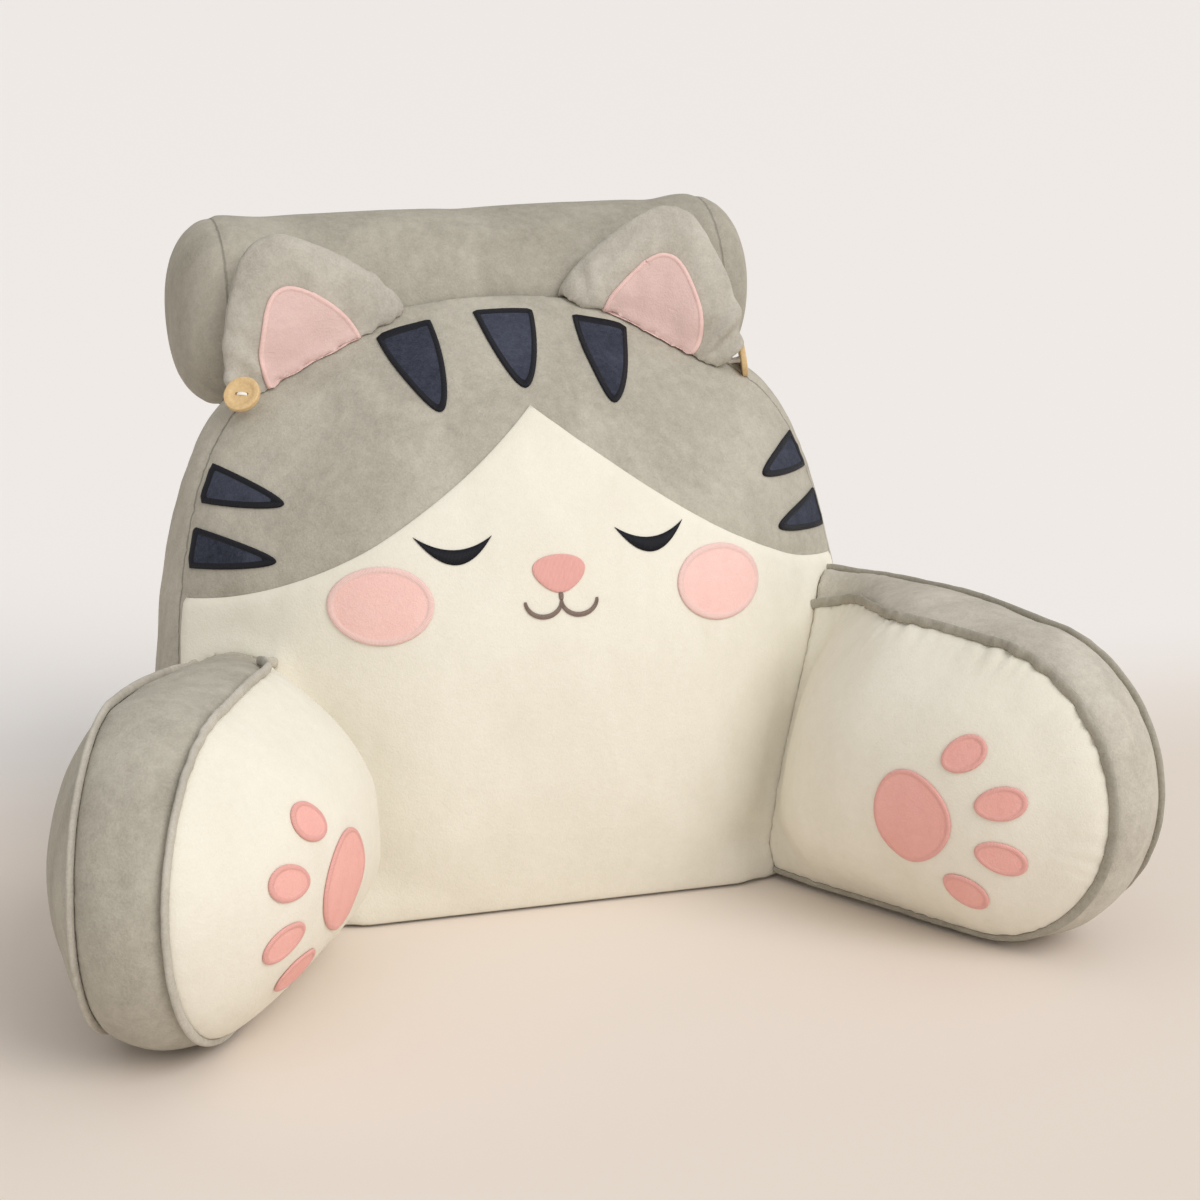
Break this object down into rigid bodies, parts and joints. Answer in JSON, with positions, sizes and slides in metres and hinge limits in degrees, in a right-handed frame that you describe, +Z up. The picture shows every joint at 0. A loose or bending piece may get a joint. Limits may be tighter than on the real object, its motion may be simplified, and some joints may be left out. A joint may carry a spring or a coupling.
{
  "type": "backrest cushion with arms",
  "caption": "Filled backrest cushion shaped as a sitting cat, with splayed arms, padded ears and a neck roll. It stands on its flat base and props up a person sitting in front of it.",
  "frame": {"origin": "middle of the flat base under the back, on the floor", "axes": "+Z up, the front and the arms face -Y, +X to the right when seen from the front"},
  "size_m": [0.7778, 0.5917, 0.5093],
  "materials": {
    "grey_plush": "short brushed pile",
    "cream_plush": "short brushed pile",
    "pink_plush": "short brushed pile with a satin-stitched edge",
    "rose_plush": "satin stitch",
    "navy_plush": "short brushed pile with a satin-stitched edge",
    "pale_wood": "bare turned wood"
  },
  "bodies": {
    "root": {"back_cushion": "grey_plush", "neck_roll": "grey_plush", "face_panel": "cream_plush", "arm_left": "grey_plush", "arm_right": "grey_plush", "arm_panel_left": "cream_plush", "arm_panel_right": "cream_plush", "welt_inner_left": "grey_plush", "welt_inner_right": "grey_plush", "welt_outer_left": "grey_plush", "welt_outer_right": "grey_plush", "ear_left": "grey_plush", "ear_right": "grey_plush", "ear_lining_left": "pink_plush", "ear_lining_right": "pink_plush", "button_left": "pale_wood", "button_right": "pale_wood", "brow_stripe_left": "navy_plush", "brow_stripe_middle": "navy_plush", "brow_stripe_right": "navy_plush", "side_stripe_left_upper": "navy_plush", "side_stripe_left_lower": "navy_plush", "side_stripe_right_upper": "navy_plush", "side_stripe_right_lower": "navy_plush", "eye_left": "navy_plush", "eye_right": "navy_plush", "nose": "pink_plush", "cheek_left": "pink_plush", "cheek_right": "pink_plush", "palm_left": "rose_plush", "palm_right": "rose_plush", "toe_low_left": "rose_plush", "toe_low_right": "rose_plush", "toe_lower_left": "rose_plush", "toe_lower_right": "rose_plush", "toe_upper_left": "rose_plush", "toe_upper_right": "rose_plush", "toe_high_left": "rose_plush", "toe_high_right": "rose_plush"}
  },
  "joints": []
}
